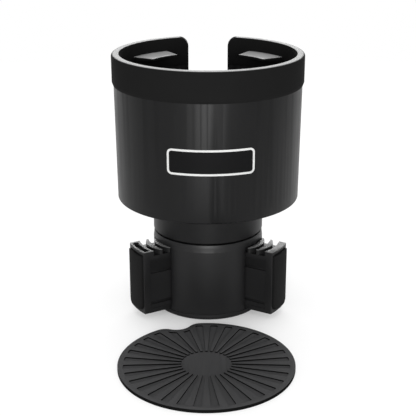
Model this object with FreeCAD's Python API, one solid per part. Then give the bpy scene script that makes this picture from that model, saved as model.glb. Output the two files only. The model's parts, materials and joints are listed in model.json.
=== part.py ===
import FreeCAD, Part
import math
import os

# Cup holder expander: a wide cup on a narrow base that grips a small cup holder.
# The base works like a scroll chuck. Turning the cup turns a spiral plate, and the
# spiral moves three jaws in or out together.
# Frame: origin on the floor under the base's axis, +Z up, the front is -Y. Millimetres.

V = FreeCAD.Vector
ORIGIN = V(0, 0, 0)
UP = V(0, 0, 1)
NODES = {}

# Main sizes
BASE_RADIUS = 31.45
BASE_HEIGHT = 45.0
CUP_TOP_RADIUS = 52.2
CUP_HEIGHT = 78.6
JAW_HALF_WIDTH = 8.94
JAW_COUNT = 3
REAR_AZIMUTH = 90.0

# Base housing
COVER_THICK = 2.9
COVER_CHAMFER = 0.6
PARTING_CHAMFER = 0.35
SHOULDER_HEIGHT = 4.2
SHOULDER_DEPTH = 0.45
HOUSING_WALL = 2.1
COLUMN_WALL = 2.2
COLUMN_ROOF = 2.4
BOSS_RADIUS = 3.4
COVER_SCREW_INSET = 9.45
TOP_PLATE_THICK = 1.8
PLATE_LEDGE = 0.55
SEAT_GAP = 0.05

# Scroll: the spiral plate
PITCH = 5.4
RIB_THICK = 1.6
RIB_CLEARANCE = 0.4
SCROLL_THICK = 1.8
SCROLL_LIFT = 0.3
SCROLL_RIM = 0.1
SCROLL_RADIAL_GAP = 0.15
SPIRAL_START = 15.6
SPIRAL_POINTS_PER_TURN = 24

# Jaws and their teeth
JAW_TRAVEL = 13.5
JAW_MEETING_GAP = 0.54
JAW_REACH = 15.45
JAW_COVER_GAP = 0.3
JAW_SIDE_GAP = 0.95
SLOT_TOP_GAP = 0.3
TOOTH_HEIGHT = 2.95
TOOTH_THICK = 3.0
TOOTH_CURVE_SPARE = 0.8
TOOTH_ROUNDING = 1.3
BLOCK_SETBACK = 4.2
PANEL_START = 21.6
PANEL_SETBACK = 4.7
PANEL_DEPTH = 0.4
PANEL_EDGE = 2.6
GROOVE_LOW_HEIGHT = 9.1
GROOVE_DROPS = {-1: 8.15, 1: 9.85}
GROOVE_WIDTH = 1.7
GROOVE_DEPTH = 1.2
GUIDE_RIB_WIDTH = 1.2
GUIDE_RIB_ENGAGEMENT = 0.8
GUIDE_RIB_START = 10.0
GUIDE_RIB_SETBACK = 3.05
RIB_ROOT = 0.5
POCKET_HALF_WIDTH = 7.6
POCKET_INNER_WALL = 1.5
POCKET_OUTER_WALL = 1.0
POCKET_DEPTH = 1.9

# Rubber pads on the jaws
PAD_STAND = 1.2
PAD_SET = 0.9
PAD_HALF_WIDTH = 7.4
PAD_LOW = 5.0
PAD_RIM_HEIGHT = 2.4
PAD_CORNER = 3.0
PAD_EDGE = 0.35
PAD_SIDE_GAP = 0.28

# Neck collar
COLLAR_GAP = 1.0
COLLAR_HEIGHT = 19.2
COLLAR_STEP = 0.1
COLLAR_WALL = 2.4
COLLAR_FLOOR = 2.5
COLLAR_CHAMFER = 0.4
SPIGOT_RADIUS = 12.5
SPIGOT_GAP = 0.08
SCROLL_SCREW_CIRCLE = 8.6
SCROLL_SCREW_COUNT = 3
CUP_SCREW_INSET = 9.35
CUP_SCREW_COUNT = 4
CUP_SCREW_AZIMUTH = 45.0
CUP_BOSS_RADIUS = 3.6
WASHER_INNER = 14.0
WASHER_INSET = 4.35
WASHER_GAP = 0.05

# Cup
CUP_DRAFT = 0.94
CUP_WALL = 2.2
CUP_FLOOR = 3.0
CUP_EDGE = 0.8
CUP_INNER_EDGE = 3.0
HANDLE_WIDTH = 23.4
HANDLE_SLOT_SILL = 18.0
HANDLE_SLOT_CORNER = 6.0

# Rubber grip ring on the rim
RING_HEIGHT = 16.6
RING_OVER_RIM = 3.0
RING_SKIRT = 0.68
RING_LINING = 1.2
RING_END_CORNER = 5.5
RING_EDGE = 0.5
RING_LOW_CHAMFER = 0.4
FIN_COUNT = 4
FIN_FIRST_AZIMUTH = 45.0
FIN_SPAN_DEGREES = 31.0
FIN_LENGTH = 13.1
FIN_DROP = 7.5
FIN_TIP_THICK = 1.4
FIN_ROOT_THICK = 3.0
FIN_ROOT = 0.4

# Loose coaster for the cup's floor, shown taken out in front of the base
COASTER_FIT = 0.26
COASTER_THICK = 2.2
COASTER_X = -0.8
COASTER_Y = -84.5
COASTER_SPOKES = 32
COASTER_RECESS = 0.5
COASTER_HUB_RATIO = 0.285
COASTER_PETAL_RATIO = 0.937
COASTER_SPOKE_SHARE = 0.5
COASTER_PETAL_CORNER = 0.9
COASTER_SPOKE_TURN = 5.625
NOTCH_AZIMUTH = 113.6
NOTCH_RADIUS = 8.0
NOTCH_DEPTH = 4.6
NOTCH_BLEND = 7.0

# Screws
SMALL_SHANK = 0.9
SMALL_HEAD = 1.75
SMALL_LENGTH = 6.2
COVER_SHANK = 1.4
COVER_HEAD = 2.7
COVER_LENGTH = 11.0
CUP_SHANK = 1.5
CUP_HEAD = 3.0
CUP_SCREW_LENGTH = 12.0
HEAD_SHARE = 0.5
HEAD_RIM_HEIGHT = 0.25
COVER_SCREW_RECESS = 0.2
DRIVE_WIDTH = 0.35
DRIVE_DEPTH_SHARE = 0.6
SCREW_GAP = 0.03
PILOT_SPARE = 1.0

# Heights worked out from the sizes above
SHOULDER_LOW = BASE_HEIGHT - SHOULDER_HEIGHT
TOP_PLATE_LOW = BASE_HEIGHT - TOP_PLATE_THICK
SCROLL_TOP = TOP_PLATE_LOW - SCROLL_LIFT
SCROLL_LOW = SCROLL_TOP - SCROLL_THICK
JAW_TOP = SCROLL_LOW - RIB_CLEARANCE
SLOT_TOP = JAW_TOP + SLOT_TOP_GAP
JAW_FLOOR = JAW_TOP - TOOTH_HEIGHT
JAW_LOW = COVER_THICK + JAW_COVER_GAP
RIB_LOW = JAW_FLOOR + RIB_CLEARANCE
COLUMN_TOP = JAW_FLOOR + RIB_CLEARANCE / 2
PAD_TOP = JAW_TOP - PAD_RIM_HEIGHT
COLLAR_LOW = BASE_HEIGHT + COLLAR_GAP
CUP_LOW = COLLAR_LOW + COLLAR_HEIGHT
RIM_TOP = CUP_LOW + CUP_HEIGHT
RING_TOP = RIM_TOP + RING_OVER_RIM
RING_LOW = RING_TOP - RING_HEIGHT

# Radii worked out from the sizes above
CAVITY_RADIUS = BASE_RADIUS - HOUSING_WALL
SCROLL_RADIUS = CAVITY_RADIUS - SCROLL_RADIAL_GAP
SPIRAL_END = SCROLL_RADIUS - SCROLL_RIM - RIB_THICK / 2
COVER_SCREW_CIRCLE = BASE_RADIUS - COVER_SCREW_INSET
CHANNEL_HALF_WIDTH = JAW_HALF_WIDTH + JAW_SIDE_GAP
TOOTH_INNER_CURVE = SCROLL_RADIUS + TOOTH_CURVE_SPARE
TOOTH_OUTER_CURVE = SPIRAL_START - RIB_THICK / 2 - TOOTH_ROUNDING
JAW_STEP = 360.0 / JAW_COUNT
JAW_INNER_END = JAW_HALF_WIDTH / math.tan(math.radians(JAW_STEP / 2)) + JAW_TRAVEL + JAW_MEETING_GAP
JAW_FACE_RADIUS = BASE_RADIUS + JAW_REACH
OUTER_TOOTH_LEFT = JAW_FACE_RADIUS - BLOCK_SETBACK
PANEL_END = JAW_FACE_RADIUS - PANEL_SETBACK
GUIDE_RIB_END = BASE_RADIUS - GUIDE_RIB_SETBACK
PAD_FACE_RADIUS = JAW_FACE_RADIUS + PAD_STAND
PAD_BACK_RADIUS = JAW_FACE_RADIUS - PAD_SET
COLLAR_RADIUS = BASE_RADIUS - COLLAR_STEP
CUP_SCREW_CIRCLE = COLLAR_RADIUS - CUP_SCREW_INSET
WASHER_OUTER = COLLAR_RADIUS - WASHER_INSET
CUP_LOW_RADIUS = CUP_TOP_RADIUS - CUP_DRAFT
RING_RADIUS = CUP_TOP_RADIUS + SEAT_GAP + RING_SKIRT
RING_BORE_RADIUS = CUP_TOP_RADIUS - CUP_WALL - RING_LINING
FIN_INNER_RADIUS = RING_BORE_RADIUS - FIN_LENGTH
COASTER_RADIUS = CUP_LOW_RADIUS - CUP_WALL - CUP_INNER_EDGE - COASTER_FIT

# Azimuths of the jaws, and of the first column between two of them
JAW_AZIMUTHS = {"left": REAR_AZIMUTH + JAW_STEP, "right": REAR_AZIMUTH - JAW_STEP, "rear": REAR_AZIMUTH}
COLUMN_AZIMUTH = REAR_AZIMUTH - JAW_STEP / 2


def turned(profile, degrees=360.0):
    """Solid turned about the axis from a closed (radius, height) profile."""
    points = [V(radius, 0, height) for radius, height in profile]
    return Part.Face(Part.makePolygon(points + points[:1])).revolve(ORIGIN, UP, degrees)


def disc(radius, low, high, x=0.0, y=0.0):
    """Upright round bar between two heights."""
    return Part.makeCylinder(radius, high - low, V(x, y, low))


def washer(inner, outer, low, high):
    """Flat ring between two heights."""
    return disc(outer, low, high).cut(disc(inner, low, high))


def block(x_range, y_range, z_range):
    """Rectangular block between two limits each way."""
    size = [high - low for low, high in (x_range, y_range, z_range)]
    return Part.makeBox(*size, V(x_range[0], y_range[0], z_range[0]))


def sheet(points, bends):
    """Face inside a closed outline; a side with a bend is an arc through that point."""
    edges = []
    for index, start in enumerate(points):
        end = points[(index + 1) % len(points)]
        if index in bends:
            edges.append(Part.Arc(start, bends[index], end).toShape())
        else:
            edges.append(Part.LineSegment(start, end).toShape())
    return Part.Face(Part.Wire(edges))


def spun(shape, degrees):
    """Copy of a shape turned about the axis."""
    copy = shape.copy()
    copy.rotate(ORIGIN, UP, degrees)
    return copy


def around(shape, count, first):
    """List of copies spaced evenly about the axis, the first one at an azimuth."""
    return [spun(shape, first + index * 360.0 / count) for index in range(count)]


def at_jaws(shape):
    """Copies of a shape along +X, one for each jaw's azimuth."""
    return around(shape, JAW_COUNT, REAR_AZIMUTH)


def on_circle(shape, radius, count, first):
    """Copies of a shape on a circle about the axis."""
    moved = shape.copy()
    moved.translate(V(radius, 0, 0))
    return around(moved, count, first)


def joined(shapes):
    """One solid from overlapping shapes."""
    return shapes[0].multiFuse(list(shapes[1:])).removeSplitter()


def cut_all(shape, tools):
    """Shape less a list of tools."""
    return shape.cut(Part.makeCompound(tools))


def sagitta(radius, half_width):
    """How far an arc falls back at half its chord."""
    return radius - math.sqrt(radius * radius - half_width * half_width)


def on_side(side, inner, outer):
    """Limits across a jaw between two distances from its middle, on one side."""
    return tuple(sorted((side * inner, side * outer)))


def strip(inner, inner_curve, outer, outer_curve, half_width, low, high):
    """Bar across a jaw between two arcs that bulge outwards, or a flat inner side."""
    outer_corner = outer - sagitta(outer_curve, half_width)
    inner_corner = inner
    bends = {0: V(outer, 0, low)}
    if inner_curve:
        inner_corner = inner - sagitta(inner_curve, half_width)
        bends[2] = V(inner, 0, low)
    points = [V(outer_corner, -half_width, low), V(outer_corner, half_width, low),
              V(inner_corner, half_width, low), V(inner_corner, -half_width, low)]
    return sheet(points, bends).extrude(V(0, 0, high - low))


def rounded_slot(half_width, low, corner, high, reach):
    """Upright prism along +X with two rounded lower corners."""
    bend = corner * (1 - math.sqrt(0.5))
    points = [V(0, -half_width, high), V(0, -half_width, low + corner), V(0, -half_width + corner, low),
              V(0, half_width - corner, low), V(0, half_width, low + corner), V(0, half_width, high)]
    bends = {1: V(0, -half_width + bend, low + bend), 3: V(0, half_width - bend, low + bend)}
    return sheet(points, bends).extrude(V(reach, 0, 0))


def screw(shank, head, length, height, up=True):
    """Countersunk screw with a cross recess; height is the level of its head's face."""
    head_depth = (head - shank) * HEAD_SHARE + HEAD_RIM_HEIGHT
    body = turned([(0, 0), (head, 0), (head, -HEAD_RIM_HEIGHT), (shank, -head_depth),
                   (shank, -length), (0, -length - shank)])
    reach = head * DRIVE_DEPTH_SHARE
    slot = block((-reach, reach), (-DRIVE_WIDTH, DRIVE_WIDTH), (-reach / 2, head))
    body = body.cut(slot).cut(spun(slot, 90))
    if not up:
        body.rotate(ORIGIN, V(1, 0, 0), 180)
    body.translate(V(0, 0, height))
    return body


def screw_hole(shank, head, length, height, up=True):
    """Space that a screw of the same sizes needs: countersink, hole and pilot."""
    head_depth = (head - shank) * HEAD_SHARE + HEAD_RIM_HEIGHT
    end = -length - PILOT_SPARE
    hole = turned([(0, head), (head + SCREW_GAP, head), (head + SCREW_GAP, -HEAD_RIM_HEIGHT),
                   (shank + SCREW_GAP, -head_depth), (shank + SCREW_GAP, end), (0, end - shank)])
    if not up:
        hole.rotate(ORIGIN, V(1, 0, 0), 180)
    hole.translate(V(0, 0, height))
    return hole


def at_cover_screws(shape):
    """Copies of a shape at the cover's screws, one in each column."""
    return on_circle(shape, COVER_SCREW_CIRCLE, JAW_COUNT, COLUMN_AZIMUTH)


def at_scroll_screws(shape):
    """Copies of a shape at the scroll's screws."""
    return on_circle(shape, SCROLL_SCREW_CIRCLE, SCROLL_SCREW_COUNT, 0)


def at_cup_screws(shape):
    """Copies of a shape at the cup's screws."""
    return on_circle(shape, CUP_SCREW_CIRCLE, CUP_SCREW_COUNT, CUP_SCREW_AZIMUTH)


def cup_radius(height):
    """Outside radius of the cup's drafted wall at a height."""
    share = (height - CUP_LOW) / CUP_HEIGHT
    return CUP_LOW_RADIUS + (CUP_TOP_RADIUS - CUP_LOW_RADIUS) * share


def groove_heights(side):
    """Heights of the two grooves on one side of a jaw; the upper ones differ."""
    return (GROOVE_LOW_HEIGHT, JAW_FLOOR - GROOVE_DROPS[side])


# Base: housing, top plate, bottom cover and its screws
def jaw_channel(half_width, high):
    """Straight channel for a jaw along +X, out past the housing."""
    return block((0, 2 * BASE_RADIUS), (-half_width, half_width), (COVER_THICK, high))


def column_pockets():
    """Hollows in the columns, round the bosses for the cover's screws."""
    top = COLUMN_TOP - COLUMN_ROOF
    hollow = disc(CAVITY_RADIUS, COVER_THICK, top)
    hollow = cut_all(hollow, at_jaws(jaw_channel(CHANNEL_HALF_WIDTH + COLUMN_WALL, top)))
    return cut_all(hollow, at_cover_screws(disc(BOSS_RADIUS, COVER_THICK, top)))


def guide_ribs():
    """Ribs on the channel walls that the jaws' grooves run on."""
    ribs = []
    for side in (-1, 1):
        across = on_side(side, JAW_HALF_WIDTH - GUIDE_RIB_ENGAGEMENT, CHANNEL_HALF_WIDTH + RIB_ROOT)
        for height in groove_heights(side):
            tall = (height - GUIDE_RIB_WIDTH / 2, height + GUIDE_RIB_WIDTH / 2)
            ribs += at_jaws(block((GUIDE_RIB_START, GUIDE_RIB_END), across, tall))
    return ribs


def base_housing():
    """Outer wall, three hollow columns between the jaw channels, and guide ribs."""
    shell = turned([(0, COVER_THICK), (BASE_RADIUS - PARTING_CHAMFER, COVER_THICK),
                    (BASE_RADIUS, COVER_THICK + PARTING_CHAMFER), (BASE_RADIUS, SHOULDER_LOW),
                    (BASE_RADIUS - SHOULDER_DEPTH, BASE_HEIGHT), (0, BASE_HEIGHT)])
    shell = shell.cut(disc(CAVITY_RADIUS, COLUMN_TOP, TOP_PLATE_LOW))
    shell = shell.cut(disc(CAVITY_RADIUS + PLATE_LEDGE, TOP_PLATE_LOW, BASE_HEIGHT))
    shell = cut_all(shell, at_jaws(jaw_channel(CHANNEL_HALF_WIDTH, SLOT_TOP)))
    shell = shell.cut(column_pockets())
    hole = screw_hole(COVER_SHANK, COVER_HEAD, COVER_LENGTH, COVER_SCREW_RECESS, up=False)
    shell = cut_all(shell, at_cover_screws(hole))
    return joined([shell] + guide_ribs())


def base_top_plate():
    """Plate pressed into the housing above the scroll, a bearing for the collar."""
    outer = CAVITY_RADIUS + PLATE_LEDGE - SEAT_GAP
    return washer(SPIGOT_RADIUS + SPIGOT_GAP, outer, TOP_PLATE_LOW, BASE_HEIGHT)


def base_cover():
    """Bottom disc under the jaws, with three countersunk holes."""
    cover = turned([(0, 0), (BASE_RADIUS - COVER_CHAMFER, 0), (BASE_RADIUS, COVER_CHAMFER),
                    (BASE_RADIUS, COVER_THICK - PARTING_CHAMFER),
                    (BASE_RADIUS - PARTING_CHAMFER, COVER_THICK), (0, COVER_THICK)])
    hole = screw_hole(COVER_SHANK, COVER_HEAD, COVER_LENGTH, COVER_SCREW_RECESS, up=False)
    return cut_all(cover, at_cover_screws(hole))


def base_cover_screws():
    """Three screws from below into the column bosses."""
    one = screw(COVER_SHANK, COVER_HEAD, COVER_LENGTH, COVER_SCREW_RECESS, up=False)
    return Part.makeCompound(at_cover_screws(one))


# Scroll
def spiral_radius(angle):
    """Middle radius of the spiral rib, in mesh with the left jaw's teeth at rest."""
    first = OUTER_TOOTH_LEFT - PITCH / 2
    return first + PITCH * (angle - math.radians(JAW_AZIMUTHS["left"])) / (2 * math.pi)


def spiral_angle(radius):
    """Angle at which the spiral's middle has a radius."""
    first = OUTER_TOOTH_LEFT - PITCH / 2
    return math.radians(JAW_AZIMUTHS["left"]) + 2 * math.pi * (radius - first) / PITCH


def spiral_curve(offset):
    """Smooth curve along the spiral, moved out by an offset."""
    start = spiral_angle(SPIRAL_START)
    end = spiral_angle(SPIRAL_END)
    steps = math.ceil(SPIRAL_POINTS_PER_TURN * (end - start) / (2 * math.pi))
    points = []
    for index in range(steps + 1):
        angle = start + (end - start) * index / steps
        radius = spiral_radius(angle) + offset
        points.append(V(radius * math.cos(angle), radius * math.sin(angle), RIB_LOW))
    curve = Part.BSplineCurve()
    curve.interpolate(points)
    return curve, points[0], points[-1]


def scroll_plate():
    """Disc with a spiral rib below that reaches between the jaws' teeth."""
    inner, inner_first, inner_last = spiral_curve(-RIB_THICK / 2)
    outer, outer_first, outer_last = spiral_curve(RIB_THICK / 2)
    edges = [inner.toShape(), Part.LineSegment(inner_last, outer_last).toShape(),
             outer.toShape(), Part.LineSegment(outer_first, inner_first).toShape()]
    outline = Part.Wire(Part.__sortEdges__(edges))
    middle = (SCROLL_LOW + SCROLL_TOP) / 2
    rib = Part.Face(outline).extrude(V(0, 0, middle - RIB_LOW))
    plate = disc(SCROLL_RADIUS, SCROLL_LOW, SCROLL_TOP).fuse(rib)
    hole = screw_hole(SMALL_SHANK, SMALL_HEAD, SMALL_LENGTH, SCROLL_LOW, up=False)
    return cut_all(plate, at_scroll_screws(hole))


def scroll_screws():
    """Three small screws that hold the scroll under the collar's spigot."""
    one = screw(SMALL_SHANK, SMALL_HEAD, SMALL_LENGTH, SCROLL_LOW, up=False)
    return Part.makeCompound(at_scroll_screws(one))


# Jaws
def outer_tooth_radius(name):
    """Middle radius of a jaw's outermost tooth, in step with the spiral."""
    turn = (JAW_AZIMUTHS[name] - JAW_AZIMUTHS["left"] + 180) % 360 - 180
    return OUTER_TOOTH_LEFT + PITCH * turn / 360


def pad_form(side_gap, back_gap):
    """Pad's form on a jaw along +X, larger by the gaps at its sides and back."""
    low = PAD_LOW - side_gap
    high = PAD_TOP + side_gap
    outline = rounded_slot(PAD_HALF_WIDTH + side_gap, low, PAD_CORNER + side_gap, high, 2 * PAD_FACE_RADIUS)
    curved = washer(PAD_BACK_RADIUS - back_gap, PAD_FACE_RADIUS, low, high)
    return curved.common(outline)


def jaw_sides():
    """Tools for the grooves and shallow panels on a jaw's two sides."""
    tools = []
    for side in (-1, 1):
        across = on_side(side, JAW_HALF_WIDTH - GROOVE_DEPTH, 2 * JAW_HALF_WIDTH)
        for height in groove_heights(side):
            tall = (height - GROOVE_WIDTH / 2, height + GROOVE_WIDTH / 2)
            tools.append(block((0, PANEL_END), across, tall))
        across = on_side(side, JAW_HALF_WIDTH - PANEL_DEPTH, 2 * JAW_HALF_WIDTH)
        tall = (JAW_LOW + PANEL_EDGE, JAW_FLOOR - PANEL_EDGE)
        tools.append(block((PANEL_START, PANEL_END), across, tall))
    return tools


def jaw(outer_tooth, has_pocket):
    """Jaw along +X: bar, teeth, top block, pad recess, side panels and grooves."""
    root = (JAW_LOW + JAW_FLOOR) / 2
    flank = outer_tooth - TOOTH_THICK / 2
    body = strip(JAW_INNER_END, None, JAW_FACE_RADIUS, JAW_FACE_RADIUS, JAW_HALF_WIDTH, JAW_LOW, JAW_FLOOR)
    upper = strip(JAW_INNER_END, None, JAW_FACE_RADIUS, JAW_FACE_RADIUS, JAW_HALF_WIDTH, root, JAW_TOP)
    shapes = [body, strip(flank, TOOTH_INNER_CURVE, JAW_FACE_RADIUS, JAW_FACE_RADIUS, JAW_HALF_WIDTH,
                          root, JAW_TOP)]
    middle = outer_tooth - PITCH
    while middle - TOOTH_THICK / 2 > JAW_INNER_END:
        one = strip(middle - TOOTH_THICK / 2, TOOTH_INNER_CURVE, middle + TOOTH_THICK / 2,
                    TOOTH_OUTER_CURVE, JAW_HALF_WIDTH, root, JAW_TOP)
        shapes.append(one.common(upper))
        middle -= PITCH
    tools = [pad_form(PAD_SIDE_GAP, SEAT_GAP)] + jaw_sides()
    if has_pocket:
        tools.append(strip(flank + POCKET_INNER_WALL, TOOTH_INNER_CURVE, JAW_FACE_RADIUS - POCKET_OUTER_WALL,
                           JAW_FACE_RADIUS, POCKET_HALF_WIDTH, JAW_TOP - POCKET_DEPTH, JAW_TOP + POCKET_DEPTH))
    shape = joined(shapes)
    for tool in tools:
        shape = shape.cut(tool)
    return shape


def jaw_pad():
    """Rubber pad in the jaw's outer face, with a softened edge."""
    pad = pad_form(0.0, 0.0)
    rim = []
    for edge in pad.Edges:
        if all(math.hypot(v.X, v.Y) > PAD_FACE_RADIUS - SEAT_GAP for v in edge.Vertexes):
            rim.append(edge)
    return pad.makeFillet(PAD_EDGE, rim)


# Neck and cup
def neck_collar():
    """Hollow collar under the cup, with a spigot down to the scroll plate."""
    inner = COLLAR_RADIUS - COLLAR_WALL
    floor_top = COLLAR_LOW + COLLAR_FLOOR
    collar = turned([(0, SCROLL_TOP), (SPIGOT_RADIUS, SCROLL_TOP), (SPIGOT_RADIUS, COLLAR_LOW),
                     (COLLAR_RADIUS - COLLAR_CHAMFER, COLLAR_LOW), (COLLAR_RADIUS, COLLAR_LOW + COLLAR_CHAMFER),
                     (COLLAR_RADIUS, CUP_LOW), (inner, CUP_LOW), (inner, floor_top), (0, floor_top)])
    boss = disc(CUP_BOSS_RADIUS, floor_top - RIB_ROOT, CUP_LOW)
    small_boss = disc(SMALL_HEAD + RIB_ROOT, floor_top - RIB_ROOT, floor_top + SMALL_LENGTH - COLLAR_FLOOR)
    collar = joined([collar] + at_cup_screws(boss) + at_scroll_screws(small_boss))
    cup_hole = screw_hole(CUP_SHANK, CUP_HEAD, CUP_SCREW_LENGTH, CUP_LOW + CUP_FLOOR)
    scroll_hole = screw_hole(SMALL_SHANK, SMALL_HEAD, SMALL_LENGTH, SCROLL_LOW, up=False)
    return cut_all(collar, at_cup_screws(cup_hole) + at_scroll_screws(scroll_hole))


def friction_washer():
    """Thin washer on the base that keeps the cup from turning by itself."""
    return washer(WASHER_INNER, WASHER_OUTER, BASE_HEIGHT, COLLAR_LOW - WASHER_GAP)


def cup():
    """Drafted cup with a rounded bottom edge and a slot for a mug's handle."""
    floor_top = CUP_LOW + CUP_FLOOR
    outside = turned([(0, CUP_LOW), (CUP_LOW_RADIUS, CUP_LOW), (CUP_TOP_RADIUS, RIM_TOP), (0, RIM_TOP)])
    inside = turned([(0, floor_top), (cup_radius(floor_top) - CUP_WALL, floor_top),
                     (CUP_TOP_RADIUS - CUP_WALL, RIM_TOP), (0, RIM_TOP)])
    low_edge = [edge for edge in outside.Edges if edge.BoundBox.ZMax < CUP_LOW + SEAT_GAP]
    outside = outside.makeFillet(CUP_EDGE, low_edge)
    floor_edge = [edge for edge in inside.Edges if edge.BoundBox.ZMax < floor_top + SEAT_GAP]
    inside = inside.makeFillet(CUP_INNER_EDGE, floor_edge)
    slot = rounded_slot(HANDLE_WIDTH / 2, floor_top + HANDLE_SLOT_SILL, HANDLE_SLOT_CORNER, RING_TOP,
                        2 * RING_RADIUS)
    shape = outside.cut(inside).cut(spun(slot, REAR_AZIMUTH))
    hole = screw_hole(CUP_SHANK, CUP_HEAD, CUP_SCREW_LENGTH, floor_top)
    return cut_all(shape, at_cup_screws(hole))


def cup_screws():
    """Four screws through the cup's floor into the collar, under the coaster's place."""
    one = screw(CUP_SHANK, CUP_HEAD, CUP_SCREW_LENGTH, CUP_LOW + CUP_FLOOR)
    return Part.makeCompound(at_cup_screws(one))


def ring_gap():
    """Tool for the ring's open gap, flared at the top so that its ends are rounded."""
    half = HANDLE_WIDTH / 2
    wide = half + RING_END_CORNER
    bend = RING_END_CORNER * (1 - math.sqrt(0.5))
    turn = RING_TOP - RING_END_CORNER
    above = RING_TOP + RING_END_CORNER
    below = RING_LOW - RING_END_CORNER
    points = [V(0, -half, below), V(0, -half, turn), V(0, -wide, RING_TOP), V(0, -wide, above),
              V(0, wide, above), V(0, wide, RING_TOP), V(0, half, turn), V(0, half, below)]
    bends = {1: V(0, -half - bend, RING_TOP - bend), 5: V(0, half + bend, RING_TOP - bend)}
    return spun(sheet(points, bends).extrude(V(2 * RING_RADIUS, 0, 0)), REAR_AZIMUTH)


def grip_ring():
    """Open rubber ring over the rim, with fins that bend round the bottle."""
    groove_outer = CUP_TOP_RADIUS + SEAT_GAP
    groove_inner = cup_radius(RING_LOW) - CUP_WALL - SEAT_GAP
    ring = turned([(RING_BORE_RADIUS, RING_LOW), (groove_inner, RING_LOW), (groove_inner, RIM_TOP),
                   (groove_outer, RIM_TOP), (groove_outer, RING_LOW),
                   (RING_RADIUS - RING_LOW_CHAMFER, RING_LOW), (RING_RADIUS, RING_LOW + RING_LOW_CHAMFER),
                   (RING_RADIUS, RING_TOP - RING_EDGE), (RING_RADIUS - RING_EDGE, RING_TOP),
                   (RING_BORE_RADIUS + RING_EDGE, RING_TOP), (RING_BORE_RADIUS, RING_TOP - RING_EDGE)])
    root = RING_BORE_RADIUS + FIN_ROOT
    top = RING_TOP - FIN_DROP
    fin = turned([(FIN_INNER_RADIUS, top), (root, top), (root, top - FIN_ROOT_THICK),
                  (FIN_INNER_RADIUS, top - FIN_TIP_THICK)], FIN_SPAN_DEGREES)
    ring = joined([ring] + around(fin, FIN_COUNT, FIN_FIRST_AZIMUTH - FIN_SPAN_DEGREES / 2))
    return ring.cut(ring_gap())


# Coaster
def coaster_petal():
    """Recess between two spokes, along +X, from the hub to a rounded outer end."""
    pitch = 2 * math.pi / COASTER_SPOKES
    half = pitch * (1 - COASTER_SPOKE_SHARE) / 2
    inner = COASTER_RADIUS * COASTER_HUB_RATIO - COASTER_RECESS
    outer = COASTER_RADIUS * COASTER_PETAL_RATIO
    level = COASTER_THICK - COASTER_RECESS
    corner = COASTER_PETAL_CORNER
    shoulder = outer - corner

    def polar(radius, angle):
        return V(radius * math.cos(angle), radius * math.sin(angle), level)

    turn = half - corner / outer
    bend = half - corner * (1 - math.sqrt(0.5)) / outer
    edge = outer - corner * (1 - math.sqrt(0.5))
    points = [polar(inner, -half), polar(shoulder, -half), polar(outer, -turn), polar(outer, turn),
              polar(shoulder, half), polar(inner, half)]
    bends = {1: polar(edge, -bend), 2: polar(outer, 0), 3: polar(edge, bend)}
    return sheet(points, bends).extrude(V(0, 0, 2 * COASTER_RECESS))


def coaster():
    """Round mat with raised spokes and rim, a bare middle and a thumb notch."""
    mat = disc(COASTER_RADIUS, 0, COASTER_THICK)
    petals = around(coaster_petal(), COASTER_SPOKES, COASTER_SPOKE_TURN)
    hub = disc(COASTER_RADIUS * COASTER_HUB_RATIO, COASTER_THICK - COASTER_RECESS,
               COASTER_THICK + COASTER_RECESS)
    mat = cut_all(mat, petals)
    mat = mat.cut(hub)
    reach = COASTER_RADIUS + NOTCH_RADIUS - NOTCH_DEPTH
    thumb = disc(NOTCH_RADIUS, -COASTER_THICK, 2 * COASTER_THICK, reach)
    mat = mat.cut(spun(thumb, NOTCH_AZIMUTH))
    azimuth = math.radians(NOTCH_AZIMUTH)
    centre = V(reach * math.cos(azimuth), reach * math.sin(azimuth), 0)
    corners = []
    for edge in mat.Edges:
        first, last = edge.firstVertex().Point, edge.lastVertex().Point
        is_upright = abs(first.z - last.z) > COASTER_THICK - SEAT_GAP
        is_outer = math.hypot(first.x, first.y) > COASTER_RADIUS - SEAT_GAP
        is_near = math.hypot(first.x - centre.x, first.y - centre.y) < NOTCH_RADIUS + SEAT_GAP
        if is_upright and is_outer and is_near:
            corners.append(edge)
    mat = mat.makeFillet(NOTCH_BLEND, corners)
    mat.translate(V(COASTER_X, COASTER_Y, 0))
    return mat


def main():
    """Builds every node and writes one file for each."""
    NODES["base_housing"] = base_housing()
    NODES["base_top_plate"] = base_top_plate()
    NODES["base_cover"] = base_cover()
    NODES["base_cover_screws"] = base_cover_screws()
    NODES["scroll_plate"] = scroll_plate()
    NODES["scroll_screws"] = scroll_screws()
    NODES["friction_washer"] = friction_washer()
    NODES["neck_collar"] = neck_collar()
    NODES["cup"] = cup()
    NODES["cup_screws"] = cup_screws()
    NODES["grip_ring"] = grip_ring()
    NODES["coaster"] = coaster()
    for name, azimuth in JAW_AZIMUTHS.items():
        NODES["jaw_" + name] = spun(jaw(outer_tooth_radius(name), name == "left"), azimuth)
        NODES["jaw_pad_" + name] = spun(jaw_pad(), azimuth)
    os.makedirs("parts", exist_ok=True)
    for name, shape in NODES.items():
        shape.exportStep("parts/" + name + ".step")
        print(name, len(shape.Solids), "solid", shape.isValid(), round(shape.Volume / 1000, 3), "cm3")


main()
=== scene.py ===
"""Looks of the cup holder expander: finishes, rubber parts, label, studio and camera.

Everything is in metres in the CAD frame: origin under the base's axis, +Z up, front -Y.
"""
import json
import logging
import math
from collections.abc import Callable
from dataclasses import dataclass
from enum import Enum
from typing import ClassVar

import bpy
from mathutils import Matrix, Vector

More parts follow.
